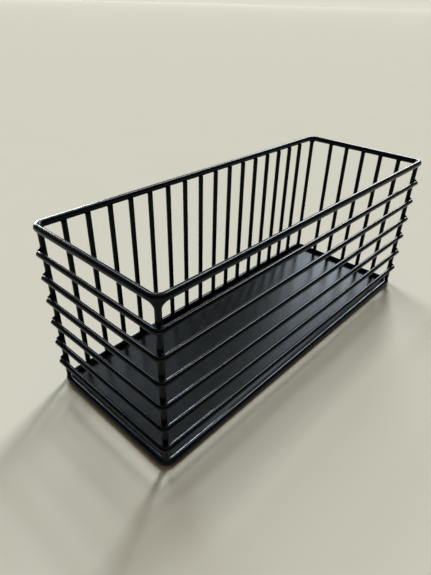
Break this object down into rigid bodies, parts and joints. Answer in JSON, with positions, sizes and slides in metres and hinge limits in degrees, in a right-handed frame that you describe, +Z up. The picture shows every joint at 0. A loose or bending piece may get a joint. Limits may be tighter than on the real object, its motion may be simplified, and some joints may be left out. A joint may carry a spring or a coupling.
{
  "type": "wire desk basket",
  "caption": "Open-topped rectangular desk basket of welded, black-coated steel wire with a sheet floor, for standing papers and small items in.",
  "frame": {"origin": "centre of the basket's box on the table that it stands on", "axes": "+X along the basket towards its right end wall, +Y from the front wall to the back wall, +Z up"},
  "size_m": [0.3068, 0.1174, 0.1247],
  "materials": {
    "wire_coat": "satin black powder coat on drawn steel wire",
    "floor_coat": "semi-gloss black powder coat on sheet steel"
  },
  "bodies": {
    "root": {"top_rim": "wire_coat", "base_ring": "wire_coat", "floor_plate": "floor_coat", "post_front_left": "wire_coat", "post_front_right": "wire_coat", "post_back_left": "wire_coat", "post_back_right": "wire_coat", "back_upright_01": "wire_coat", "back_upright_02": "wire_coat", "back_upright_03": "wire_coat", "back_upright_04": "wire_coat", "back_upright_05": "wire_coat", "back_upright_06": "wire_coat", "back_upright_07": "wire_coat", "back_upright_08": "wire_coat", "back_upright_09": "wire_coat", "back_upright_10": "wire_coat", "back_upright_11": "wire_coat", "back_upright_12": "wire_coat", "back_upright_13": "wire_coat", "back_upright_14": "wire_coat", "back_upright_15": "wire_coat", "back_upright_16": "wire_coat", "end_upright_1": "wire_coat", "end_upright_2": "wire_coat", "end_upright_3": "wire_coat", "end_upright_4": "wire_coat", "end_upright_5": "wire_coat", "wrap_wire_1": "wire_coat", "wrap_wire_2": "wire_coat", "wrap_wire_3": "wire_coat", "wrap_wire_4": "wire_coat", "wrap_wire_5": "wire_coat", "wrap_wire_6": "wire_coat"}
  },
  "joints": []
}
